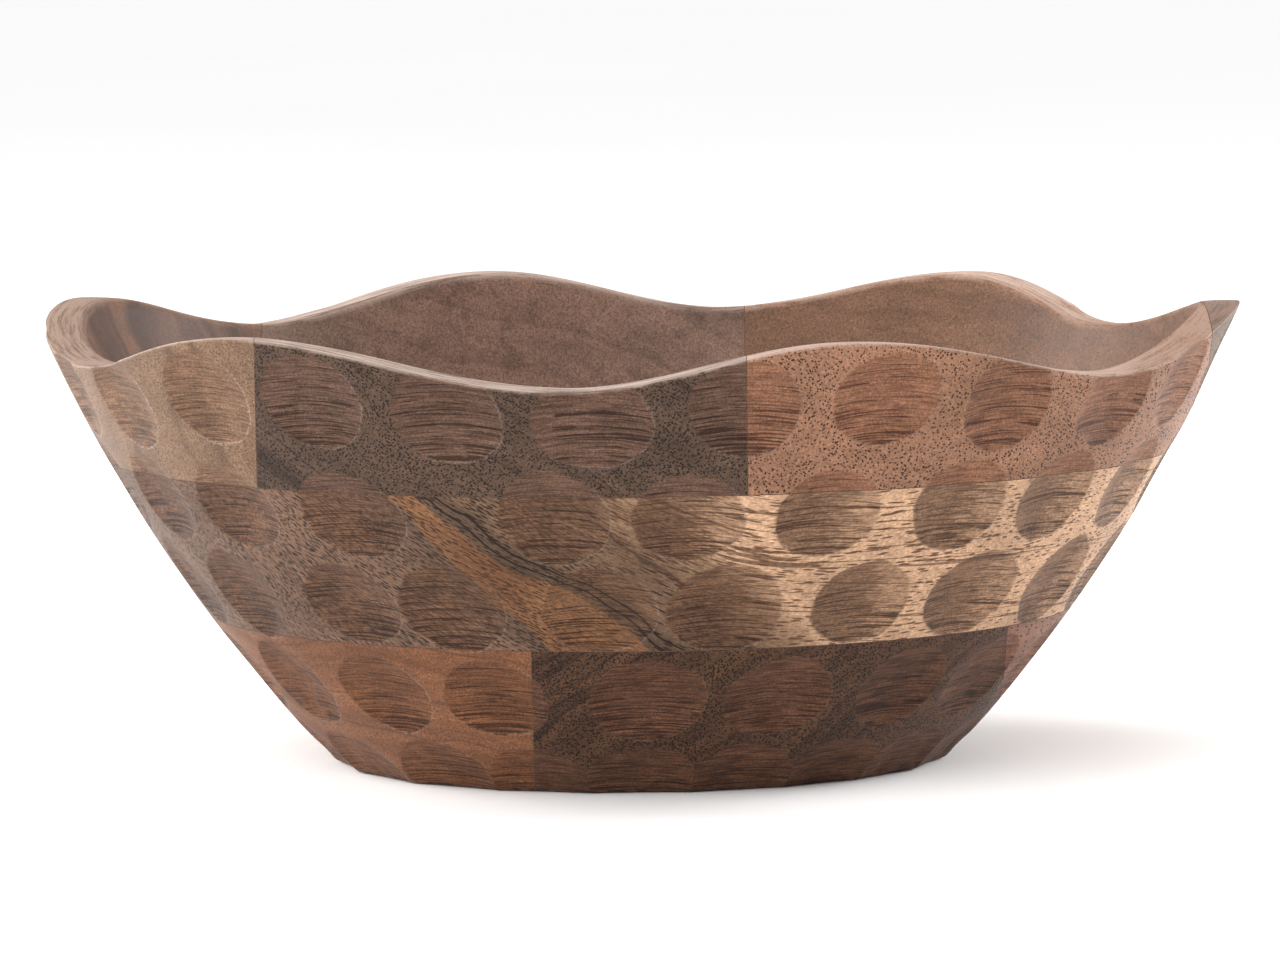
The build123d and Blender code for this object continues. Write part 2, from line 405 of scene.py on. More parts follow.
def master_mesh():
    """The closed surface as a Blender mesh, in mm, with its fields as point attributes."""
    verts, quads, tris, fields = master_surface()
    mesh = bpy.data.meshes.new("master")
    mesh.vertices.add(len(verts))
    mesh.vertices.foreach_set("co", verts.astype(np.float32).ravel())
    corners = np.concatenate([quads.ravel(), tris.ravel()]).astype(np.int32)
    quad_starts = np.arange(len(quads)) * 4
    tri_starts = len(quads) * 4 + np.arange(len(tris)) * 3
    starts = np.concatenate([quad_starts, tri_starts]).astype(np.int32)
    mesh.loops.add(len(corners))
    mesh.loops.foreach_set("vertex_index", corners)
    mesh.polygons.add(len(starts))
    mesh.polygons.foreach_set("loop_start", starts)
    mesh.update(calc_edges=True)
    mesh.polygons.foreach_set("use_smooth", np.ones(len(starts), bool))
    for name, values in zip(FIELD_NAMES, fields):
        attribute = mesh.attributes.new(name, "FLOAT", "POINT")
        attribute.data.foreach_set("value", values.astype(np.float32))
    return mesh


# ---------------------------------------------------------------- boards and glue lines
def half_space(axis, joint, side, clear):
    """Point and normal of the half space on one side of a joint.

    The joint crosses the given axis at joint[0] and joint[1], at the two ends of its gauge length.
    A positive clear leaves that much room for glue, and a negative one takes the glue in.
    """
    slope = (joint[1] - joint[0]) / (2 * JOINT_GAUGE)
    middle = (joint[0] + joint[1]) / 2
    if axis == "X":
        normal = Vector((1, -slope, 0)).normalized()
        point = Vector((middle, 0, 0))
    else:
        normal = Vector((-slope, 1, 0)).normalized()
        point = Vector((0, middle, 0))
    return point + normal * side * clear, normal * side


def level(z, side):
    """Half space above (side 1) or below (side -1) a height."""
    return Vector((0, 0, z)), Vector((0, 0, side))


def cut_away(bm, point, normal):
    """Removes what lies behind the plane and closes the cut with a flat face."""
    everything = bm.verts[:] + bm.edges[:] + bm.faces[:]
    made = bmesh.ops.bisect_plane(
        bm, geom=everything, plane_co=point, plane_no=normal, dist=1e-5, clear_inner=True
    )
    outline = [e for e in made["geom_cut"] if isinstance(e, bmesh.types.BMEdge)]
    if not outline:
        return
    for edge in outline:
        edge.smooth = False
    filled = bmesh.ops.triangle_fill(bm, edges=outline, use_beauty=True, normal=-normal)
    for item in filled["geom"]:
        if isinstance(item, bmesh.types.BMFace):
            item.smooth = False


def part_of(whole, planes):
    """A copy of a closed bmesh, cut by each plane in turn."""
    bm = whole.copy()
    for point, normal in planes:
        cut_away(bm, point, normal)
    return bm


def film(axis, joint):
    """The two planes that bound a joint's glue."""
    return [half_space(axis, joint, 1, -GLUE / 2), half_space(axis, joint, -1, -GLUE / 2)]


def board_planes():
    """Each board's course and the planes that cut it out of that course."""
    half = GLUE / 2

    def beyond(axis, joint):
        return half_space(axis, joint, 1, half)

    def before(axis, joint):
        return half_space(axis, joint, -1, half)

    # the hollow leaves the centre boards as two ends, parted by these
    front_end = half_space("Y", (0, 0), -1, 0)
    back_end = half_space("Y", (0, 0), 1, 0)
    left_end = half_space("X", (0, 0), -1, 0)
    right_end = half_space("X", (0, 0), 1, 0)
    upper_centre = [beyond("X", UPPER_LEFT_JOINT), before("X", UPPER_RIGHT_JOINT)]
    middle_centre = [beyond("Y", MIDDLE_FRONT_JOINT), before("Y", MIDDLE_BACK_JOINT)]
    lower_centre = [beyond("X", LOWER_LEFT_JOINT), before("X", LOWER_RIGHT_JOINT)]
    upper_right = [beyond("X", UPPER_RIGHT_JOINT), before("X", UPPER_TIP_JOINT)]
    return {
        "upper_left_board": ("upper", [before("X", UPPER_LEFT_JOINT)]),
        "upper_centre_front_board": ("upper", upper_centre + [front_end]),
        "upper_centre_back_board": ("upper", upper_centre + [back_end]),
        "upper_right_board": ("upper", upper_right),
        "upper_right_tip": ("upper", [beyond("X", UPPER_TIP_JOINT)]),
        "middle_front_board": ("middle", [before("Y", MIDDLE_FRONT_JOINT)]),
        "middle_left_board": ("middle", middle_centre + [left_end]),
        "middle_right_board": ("middle", middle_centre + [right_end]),
        "middle_back_board": ("middle", [beyond("Y", MIDDLE_BACK_JOINT)]),
        "lower_left_board": ("lower", [before("X", LOWER_LEFT_JOINT)]),
        "lower_centre_board": ("lower", lower_centre),
        "lower_right_board": ("lower", [beyond("X", LOWER_RIGHT_JOINT)]),
    }


BOARD_GLUE = {
    "upper_board_glue": ("upper", "X", [UPPER_LEFT_JOINT, UPPER_RIGHT_JOINT, UPPER_TIP_JOINT]),
    "middle_board_glue": ("middle", "Y", [MIDDLE_FRONT_JOINT, MIDDLE_BACK_JOINT]),
    "lower_board_glue": ("lower", "X", [LOWER_LEFT_JOINT, LOWER_RIGHT_JOINT]),
}
COURSE_GLUE = {"upper_course_glue": MIDDLE_TOP, "lower_course_glue": LOWER_TOP}
# Extra height kept when a band is cut from the whole, and heights clear below and above it
BAND_MARGIN = 3.0
CLEAR_BELOW = -9.0
CLEAR_ABOVE = 200.0


def near_band(mesh, z_low, z_high):
    """bmesh of the faces of the whole surface that reach into a band of heights."""
    bm = bmesh.new()
    bm.from_mesh(mesh)
    low = z_low - BAND_MARGIN
    high = z_high + BAND_MARGIN
    out = [v for v in bm.verts if not low < v.co.z < high]
    bmesh.ops.delete(bm, geom=out, context="VERTS")
    return bm


def courses(mesh):
    """The three courses of boards as closed bmeshes, each cut level."""
    half = GLUE / 2
    spans = {
        "lower": (None, LOWER_TOP - half),
        "middle": (LOWER_TOP + half, MIDDLE_TOP - half),
        "upper": (MIDDLE_TOP + half, None),
    }
    made = {}
    for name, (z_low, z_high) in spans.items():
        bm = near_band(mesh, z_low or CLEAR_BELOW, z_high or CLEAR_ABOVE)
        if z_low is not None:
            cut_away(bm, *level(z_low, 1))
        if z_high is not None:
            cut_away(bm, *level(z_high, -1))
        made[name] = bm
    return made


def piece(name, bm, material):
    """A finished object from a bmesh in mm, standing for the CAD node of that name."""
    bmesh.ops.recalc_face_normals(bm, faces=bm.faces[:])
    mesh = bpy.data.meshes.new("carved_" + name)
    bm.to_mesh(mesh)
    bm.free()
    mesh.transform(Matrix.Scale(MM, 4))
    mesh.materials.append(material)
    obj = bpy.data.objects.new("carved_" + name, mesh)
    bpy.context.scene.collection.objects.link(obj)
    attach(obj, "root")
    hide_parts(name)
    return obj


def joined(parts):
    """One bmesh from several, which are freed."""
    whole = bmesh.new()
    for part in parts:
        mesh = bpy.data.meshes.new("part")
        part.to_mesh(mesh)
        part.free()
        whole.from_mesh(mesh)
        bpy.data.meshes.remove(mesh)
    return whole


# ---------------------------------------------------------------- materials
# What oiled wood keeps of green and of blue, beside its red
OIL_GREEN = 0.97
OIL_BLUE = 0.92
# Gloss: a soft satin, with a thin rough coat on the wood
IOR = 1.45
SPECULAR_LEVEL = 0.15
COAT_ROUGHNESS = 0.38
WOOD_COAT = 0.05
WOOD_BUMP = 0.6
GLUE_BUMP = 0.4
FLOOR_ROUGHNESS = 0.85
# Features to a mm, along x, y and z, of each noise through the wood, the glue and the floor
SWAY_RATE = (0.018, 0.018, 0.03)
MOTTLE_RATE = (0.05, 0.05, 0.08)
PORE_SIZE_RATE = (0.08, 0.08, 0.12)
CLOUD_RATE = (0.11, 0.11, 0.11)
GRIT_RATE = (1.3, 1.3, 1.3)
GLUE_RATE = (1.5, 1.5, 1.5)
HAZE_RATE = (0.002, 0.002, 0.0)
# Fibres to a mm across the grain
FIBRE_RATE = 2.4
# How far, in mm, the growth rings sway, and how much of that the pores follow
SWAY = 4.0
PORE_SWAY = 0.4
# Light and dark in the wood: noise from and to, and the shade at each end
MOTTLE_SHADE = (0.28, 0.72, 0.53, 0.73)
FIBRE_SHADE = (0.3, 0.7, 0.72, 1.22)
GRIT_SHADE = (0.3, 0.7, 0.78, 1.18)
# Relief, in mm at full strength
PORE_RELIEF = -0.12
FIBRE_RELIEF = 0.05
GRIT_RELIEF = 0.05
STRIATION_RELIEF = 0.16
ARC_RELIEF = -0.14
# How much a hollow's floor covers the wood's own colour, and how much a bared figure shows there
FLOOR_SHARE = 0.92
BARED_SHARE = 0.75
# How far, in mm, striations fray the change across a hollow's floor, and how far across it runs
FRAY = 34.0
FRAY_END = 9.0
# How much pores close on the inside and on the rim, and how much thin ring lines show inside
INNER_CLOSED = 0.7
RIM_CLOSED = 0.5
INSIDE_LINES = 0.15
# Distance in front of or behind the middle, in mm, over which the rim turns from its sides' colour to
# the pale of a painted sheen
RIM_SIDES = (50.0, 115.0)
RIM_SHARE = 0.85
# Half the width, in mm, of the bend where a slanted grain turns level
SLANT_BEND = 14.0
# Where, in mm from the middle, the striped board's pores turn from dots on the left to long dashes
PORES_LENGTHEN = (-18.0, 6.0)
# How far, in mm along every axis, each step of a board's seed moves it through the noises
SEED_SHIFT = 37.0


def srgb(r, g, b):
    """Linear colour, with alpha, from display values of 0 to 255."""
    linear = []
    for value in (r, g, b):
        value = value / 255
        linear.append(value / 12.92 if value <= 0.04045 else ((value + 0.055) / 1.055) ** 2.4)
    return (*linear, 1.0)


class Graph:
    """A material's nodes, with short calls for those that the materials share."""

    def __init__(self, name):
        self.material = bpy.data.materials.new(name)
        self.material.use_nodes = True
        self.tree = self.material.node_tree
        self.tree.nodes.clear()

    def node(self, kind, values=None, **settings):
        """A node with its settings, and its inputs set to values or linked to sockets."""
        node = self.tree.nodes.new(kind)
        for key, value in settings.items():
            setattr(node, key, value)
        for key, value in (values or {}).items():
            if isinstance(value, bpy.types.NodeSocket):
                self.tree.links.new(value, node.inputs[key])
            else:
                node.inputs[key].default_value = value
        return node

    def math(self, operation, *values):
        return self.node("ShaderNodeMath", dict(enumerate(values)), operation=operation).outputs[0]

    def add(self, a, b):
        return self.math("ADD", a, b)

    def less(self, a, b):
        return self.math("SUBTRACT", a, b)

    def times(self, a, b):
        return self.math("MULTIPLY", a, b)

    def rest(self, value):
        """What a share leaves of one."""
        return self.less(1.0, value)

    def off(self, value, middle):
        """Distance of a value from a middle."""
        return self.math("ABSOLUTE", self.less(value, middle))

    def point(self, x, y, z):
        return self.node("ShaderNodeCombineXYZ", {"X": x, "Y": y, "Z": z}).outputs[0]

    def scaled(self, place, rates):
        """A place as a vector, with its own rate along each axis."""
        return self.point(*[self.times(value, rate) for value, rate in zip(place, rates)])

    def step(self, value, low, high, to_low=0.0, to_high=1.0):
        """Smooth change from to_low to to_high as the value goes from low to high."""
        values = {"Value": value, "From Min": low, "From Max": high, "To Min": to_low, "To Max": to_high}
        return self.node("ShaderNodeMapRange", values, interpolation_type="SMOOTHSTEP").outputs[0]

    def mix(self, share, a, b, blend="MIX"):
        """Colour from a to b by a share."""
        node = self.node("ShaderNodeMix", {0: share, 6: a, 7: b}, data_type="RGBA", blend_type=blend)
        return node.outputs[2]

    def noise(self, vector, detail=2.0, roughness=0.5):
        values = {"Vector": vector, "Scale": 1.0, "Detail": detail, "Roughness": roughness}
        return self.node("ShaderNodeTexNoise", values).outputs[0]

    def cells(self, vector):
        return self.node("ShaderNodeTexVoronoi", {"Vector": vector, "Scale": 1.0}).outputs["Distance"]

    def field(self, name):
        return self.node("ShaderNodeAttribute", attribute_name=name).outputs["Fac"]

    def place(self, shift=0.0):
        """Position in mm, as three numbers, moved by a seeded shift."""
        vector = self.node("ShaderNodeTexCoord").outputs["Object"]
        split = self.node("ShaderNodeSeparateXYZ", {0: vector}).outputs
        return [self.math("MULTIPLY_ADD", value, 1 / MM, shift) for value in split]

    def finish(self, colour, roughness, height, coat, bump):
        """Satin surface from the worked-out colour, roughness and height (in mm)."""
        relief = {"Height": height, "Distance": MM, "Strength": bump}
        values = {
            "Base Color": colour,
            "Roughness": roughness,
            "Normal": self.node("ShaderNodeBump", relief).outputs[0],
            "IOR": IOR,
            "Specular IOR Level": SPECULAR_LEVEL,
            "Coat Weight": coat,
            "Coat Roughness": COAT_ROUGHNESS,
            "Coat IOR": IOR,
        }
        shader = self.node("ShaderNodeBsdfPrincipled", values)
        self.node("ShaderNodeOutputMaterial", {"Surface": shader.outputs[0]})
        return self.material


# Growth rings: how slowly their bands and thin lines change along the board, in features to a mm,
# and the share of the bands' rate across it that the thin lines have
BAND_RUN = 0.006
LINE_RUN = 0.004
LINE_RATE = 0.45
# Marks on a hollow's floor: features to a mm across and along it of the fine striations, of the
# long arcs and of what breaks them, and how much the marks bow for each square mm across
STRIATION_RATE = (0.12, 2.2)
ARC_RATE = (0.04, 1.8)
BREAK_RATE = (0.10, 0.16)
MARK_BOW = 0.007
# How far through the noise a hollow's own number, from 0 to 1, moves its marks
MARK_SHIFT = 90.0


def ring_bands(g, look, place, sway):
    """Growth rings: 0 to 1 across their bands, and thin dark lines along some of them."""
    x, y, z = place
    nx, ny, nz = look["rings"]
    q = g.add(g.add(g.times(x, nx), g.times(y, ny)), g.add(g.times(z, nz), sway))
    along = y if look["grain"] == "Y" else x
    rate = 1 / look["spacing"]
    band = g.noise(g.point(g.times(q, rate), g.times(along, BAND_RUN), 0.0), 3.0, 0.6)
    thin = g.noise(g.point(g.times(q, LINE_RATE * rate), g.times(along, LINE_RUN), 7.0), 1.0)
    return g.step(band, 0.36, 0.66), g.step(g.off(thin, 0.5), 0.020, 0.004)


def pores(g, look, place, sway):
    """Vessels: dots across the grain and dashes along it, 1 in the middle of each."""
    x, y, z = place
    along, side = (x, y) if look["grain"] == "X" else (y, x)
    across = 1 / look["pore_gap"]
    tube = g.point(
        g.times(along, look["pore_run"]),
        g.times(g.add(side, sway), across * look["pore_side"]),
        g.times(g.add(z, sway), across),
    )
    size = g.noise(g.scaled(place, PORE_SIZE_RATE))
    reach = g.step(size, 0.3, 0.7, look["pore_reach"] * 0.92, look["pore_reach"] * 1.12)
    return g.rest(g.step(g.math("DIVIDE", g.cells(tube), reach), 0.6, 1.0))


def grain_lean(g, look, place, shift):
    """The height with the grain's slant taken out: it runs down from the left and bends level."""
    x, _, z = place
    left = g.less(shift + look["slant_from"], x)
    bend = g.math("SQRT", g.math("MULTIPLY_ADD", left, left, SLANT_BEND**2))
    return g.math("MULTIPLY_ADD", g.add(left, bend), -0.5 * look["slant"], z)


def open_pores(g, look, place, sway, shift):
    """The board's pores, where the hollows, the inside and the rim leave them open."""
    sway = g.times(sway, PORE_SWAY)
    pore = pores(g, look, place, sway)
    if "left_pores" in look:
        left_pore = pores(g, {**look, **look["left_pores"]}, place, sway)
        start, end = PORES_LENGTHEN
        right = g.step(place[0], shift + start, shift + end)
        pore = g.add(g.times(pore, right), g.times(left_pore, g.rest(right)))
    closed = (("cut", look["floor_closed"]), ("inner", INNER_CLOSED), ("rim", RIM_CLOSED))
    for name, share in closed:
        pore = g.times(pore, g.rest(g.times(g.field(name), share)))
    return pore


def floor_streaks(g):
    """Tool marks on a hollow's floor: fine level striations and a few long dark arcs."""
    across = g.field("across")
    mark = g.times(g.field("mark"), MARK_SHIFT)
    bowed = g.add(g.field("along"), g.times(g.times(across, across), MARK_BOW))

    def marks(rates, start, detail, roughness=0.5):
        spot = g.point(g.times(across, rates[0]), g.times(bowed, rates[1]), g.add(mark, start))
        return g.noise(spot, detail, roughness)

    fine = marks(STRIATION_RATE, 0.0, 4.0, 0.65)
    long = marks(ARC_RATE, 40.0, 3.0, 0.6)
    broken = marks(BREAK_RATE, 71.0, 1.0)
    deeper = g.math("MULTIPLY_ADD", bowed, -0.005, long)
    return fine, g.times(g.step(deeper, 0.555, 0.59), g.step(broken, 0.36, 0.46))


def web_colour(g, look, place, shift, band, line):
    """Colour of the wood between the hollows and of its pores, and where its figure is bared."""
    pore_colour = srgb(*look["pore"])
    bared = 0.0
    if "figure" in look:
        web, pore_colour, bared = look["figure"](g, place, shift, pore_colour)
    else:
        web = g.mix(g.times(band, look["bands"]), srgb(*look["light"]), srgb(*look["dark"]))
    return g.mix(g.times(line, look["lines"]), web, pore_colour), pore_colour, bared


def floor_colour(g, look, web, bared, fine, arc):
    """Colour of the hollows' floors: striated, with more of the wood's own towards their right."""
    floor = g.mix(g.step(fine, 0.38, 0.62), srgb(*look["floor_dark"]), srgb(*look["floor_light"]))
    ragged = g.math("MULTIPLY_ADD", g.less(fine, 0.5), FRAY, g.field("across"))
    share = g.step(ragged, 0.0, FRAY_END, look["keep"], look["keep_right"])
    share = g.math("MAXIMUM", share, g.times(bared, BARED_SHARE))
    floor = g.mix(share, floor, web)
    return g.mix(g.times(arc, look["streak_share"]), floor, srgb(*look["streak"]))


def inside_colour(g, look, place, band, line):
    """Colour of the smooth inside: growth rings, and dark clouds."""
    share = g.times(band, look["inside_bands"])
    inside = g.mix(share, srgb(*look["inside_light"]), srgb(*look["inside_dark"]))
    inside = g.mix(g.times(line, INSIDE_LINES), inside, srgb(*look["pore"]))
    cloud = g.step(g.noise(g.scaled(place, CLOUD_RATE), 4.0, 0.7), 0.48, 0.66, 0.0, look["inside_cloud"])
    return g.mix(cloud, inside, srgb(*look["pore"]))


def shaded(g, colour, place, fibre, grit):
    """A colour with the wood's light and dark in it, and its oil's warmth."""
    shade = g.step(g.noise(g.scaled(place, MOTTLE_RATE), 4.0, 0.65), *MOTTLE_SHADE)
    shade = g.times(shade, g.step(fibre, *FIBRE_SHADE))
    shade = g.times(shade, g.step(grit, *GRIT_SHADE))
    tint = g.point(shade, g.times(shade, OIL_GREEN), g.times(shade, OIL_BLUE))
    return g.mix(1.0, colour, tint, "MULTIPLY")


def worn_and_highlit_edges(g, look, colour, grit):
    """Painted highlight on the lit side of each hollow: paler, broken edges where light would catch the
    gouge's rim, partly real wear.
    """
    cut = g.field("cut")
    # Painted highlight: the hollow's edge is paled with the rim's colour on its lit side only; some of
    # the paleness is real wear.
    lit_side = g.step(g.less(g.field("across"), g.field("along")), -6.0, 14.0)
    edge_wear_and_highlight = g.times(g.times(cut, g.rest(cut)), look["edge_wear_and_highlight"])
    edge_wear_and_highlight = g.times(g.times(edge_wear_and_highlight, lit_side), g.step(grit, 0.35, 0.6))
    return g.mix(edge_wear_and_highlight, colour, srgb(*look["rim"]))


def rim_colour(g, look, colour, place, shift):
    """The rim's pale top, a painted sheen, streaked with grain, and of another shade at the bowl's left
    and right sides.
    """
    x, y, _ = place
    ledge = g.times(g.field("along"), 1.3)
    streaks = g.noise(g.point(g.times(x, 0.06), g.times(y, 0.06), ledge), 4.0, 0.65)
    # Painted sheen: the rim's top is paled towards the bowl's front and back.
    away = g.step(g.off(y, shift), *RIM_SIDES)
    pale = g.mix(away, srgb(*look["rim_side"]), srgb(*look["rim"]))
    dark = g.mix(0.2, colour, pale)
    top = g.mix(g.step(streaks, 0.38, 0.56), dark, pale)
    return g.mix(g.times(g.field("rim"), RIM_SHARE), colour, top)


def wood(name, look):
    """Oiled wood, solid through the board, with its gouged hollows, rim and inside told apart."""
    g = Graph(name)
    shift = look["seed"] * SEED_SHIFT
    place = g.place(shift)
    x, y, z = place
    sway = g.step(g.noise(g.scaled(place, SWAY_RATE)), 0.2, 0.8, -SWAY, SWAY)
    lean_place = (x, y, grain_lean(g, look, place, shift))
    along, side = (x, y) if look["grain"] == "X" else (y, x)
    fibre_rates = (look["fibre_run"], FIBRE_RATE, FIBRE_RATE)
    fibre = g.noise(g.scaled((along, side, lean_place[2]), fibre_rates), 3.0)
    grit = g.noise(g.scaled(place, GRIT_RATE), 3.0, 0.7)
    band, line = ring_bands(g, look, place, sway)
    dots = open_pores(g, look, lean_place, sway, shift)
    fine, arc = floor_streaks(g)
    cut = g.field("cut")

    web, pore_colour, bared = web_colour(g, look, (x, z, lean_place[2]), shift, band, line)
    floor = floor_colour(g, look, web, bared, fine, arc)
    colour = g.mix(g.times(cut, FLOOR_SHARE), web, floor)
    colour = g.mix(g.field("inner"), colour, inside_colour(g, look, place, band, line))
    colour = shaded(g, colour, place, fibre, grit)
    colour = g.mix(g.times(dots, look["pore_share"]), colour, pore_colour)
    # painted highlight, with some real wear, on the hollows' lit edges
    colour = worn_and_highlit_edges(g, look, colour, grit)
    colour = rim_colour(g, look, colour, place, shift)

    height = g.add(g.times(fibre, FIBRE_RELIEF), g.times(grit, GRIT_RELIEF))
    height = g.add(g.times(dots, PORE_RELIEF), height)
    marks = g.add(g.times(fine, STRIATION_RELIEF), g.times(arc, ARC_RELIEF))
    height = g.add(height, g.times(cut, marks))
    roughness = g.step(g.add(fibre, g.times(cut, 0.15)), 0.2, 0.9, 0.44, 0.66)
    return g.finish(colour, roughness, height, WOOD_COAT, WOOD_BUMP)


# The middle front board's figure lies along two slopes, each the share of x and of z in the
# distance across it. Its edges wander by up to FIGURE_WANDER mm.
FLAT_SLOPE = (0.562, 0.827)
STEEP_SLOPE = (0.70, 0.71)
FIGURE_WANDER = 2.2
# Distances in mm: the orange band across the steep slope, and to the dark streak on the flat one
ORANGE_START = (11.0, 12.5)
STREAK_START = (33.0, 34.0)
STREAK_END = (37.5, 40.5)
STREAK_LINES = (35.4, 37.4)
BARED_END = (39.5, 37.5)


def diagonal_figure(g, place, shift, pore_colour):
    """The middle front board: grey brown, an orange band, a dark streak, then tan and sapwood.

    Its pores turn from dark to light brown with the wood, and the sapwood has long level lines.
    The third result is 1 where the orange band and the dark streak show in the hollows' floors too.
    """
    x, z, lean_z = place
    wander = g.noise(g.point(g.times(x, 0.05), 3.0, g.times(z, 0.05)), 1.0, 0.4)
    wander = g.step(wander, 0.2, 0.8, -FIGURE_WANDER, FIGURE_WANDER)
    front_x = g.less(x, shift)
    front_z = g.less(z, shift)

    def across(slope):
        return g.add(g.add(g.times(front_x, slope[0]), g.times(front_z, slope[1])), wander)

    def vein(distance, middle, half_width):
        return g.step(g.off(distance, middle), half_width, 0.3 * half_width)

    flat = across(FLAT_SLOPE)
    steep = across(STEEP_SLOPE)
    band = g.step(steep, *ORANGE_START)
    colour = g.mix(g.step(steep, 2.0, 11.0), srgb(136, 106, 88), srgb(112, 88, 74))
    orange = g.mix(g.step(wander, -1.5, 1.5), srgb(148, 107, 76), srgb(136, 95, 68))
    colour = g.mix(band, colour, orange)
    colour = g.mix(g.step(flat, *STREAK_START), colour, srgb(102, 81, 66))
    colour = g.mix(g.step(flat, *STREAK_END), colour, srgb(130, 102, 82))
    for middle in STREAK_LINES:
        colour = g.mix(g.times(vein(flat, middle, 0.35), 0.9), colour, srgb(30, 20, 16))
    colour = g.mix(g.step(steep, 45.0, 50.0), colour, srgb(160, 128, 102))
    colour = g.mix(g.times(vein(steep, 45.4, 0.6), 0.6), colour, srgb(80, 54, 40))
    colour = g.mix(g.step(steep, 50.0, 62.0), colour, srgb(234, 191, 157))
    grain = g.noise(g.point(g.times(x, 0.008), 5.0, g.times(lean_z, 0.30)))
    level_line = g.times(vein(grain, 0.5, 0.014), g.step(steep, 30.0, 42.0))
    colour = g.mix(g.times(level_line, 0.75), colour, srgb(96, 62, 43))

    orange_share = g.times(band, g.rest(g.step(flat, *STREAK_START)))
    pore_colour = g.mix(orange_share, pore_colour, srgb(56, 34, 23))
    pore_colour = g.mix(g.step(steep, 40.0, 56.0), pore_colour, srgb(84, 54, 37))
    bared = g.times(band, g.step(flat, *BARED_END))
    return colour, pore_colour, bared


# What a board's look says, with the usual values. Colours are display values of 0 to 255.
# grain: the axis that the board runs along; fibre_run: fibres to a mm along it.
# slant, slant_from: how steeply the grain runs down from the left, and where in mm it turns level.
# rings, spacing: the direction across the growth rings, and the mm between them.
# pore_gap: mm between pores; pore_run: pores to a mm along the grain; pore_reach: their size.
# pore_side: how close pores are sideways, as a share of how close they are upwards.
# keep, keep_right: share of the wood's own colour on a hollow's floor, at its left and its right.
# floor_closed: how much the hollows' floors close the pores. The other numbers are strengths.
BASE_LOOK = {
    "grain": "Y",
    "rings": (0.3, 0.0, 0.95),
    "spacing": 6.0,
    "lines": 0.4,
    "bands": 0.6,
    "pore_gap": 1.0,
    "pore_run": 0.05,
    "pore_reach": 0.36,
    "pore_share": 0.9,
    "pore_side": 1.0,
    "floor_closed": 0.8,
    "streak_share": 0.9,
    "pore": (44, 30, 24),
    "fibre_run": 0.12,
    "slant": 0.0,
    "slant_from": 0.0,
    "streak": (52, 28, 20),
    # rim: the pale of the rim's top, a painted sheen, also used for the painted highlight on the
    # hollows' lit edges; rim_side: the rim's colour at the left and right sides
    "rim": (193, 170, 157),
    "rim_side": (156, 130, 116),
    "keep": 0.2,
    "keep_right": 0.25,
    # Strength of the painted highlight, with some real wear, on the hollows' lit edges
    "edge_wear_and_highlight": 0.5,
    "inside_bands": 0.5,
    "inside_cloud": 0.3,
    "inside_light": (132, 102, 86),
    "inside_dark": (108, 82, 70),
}
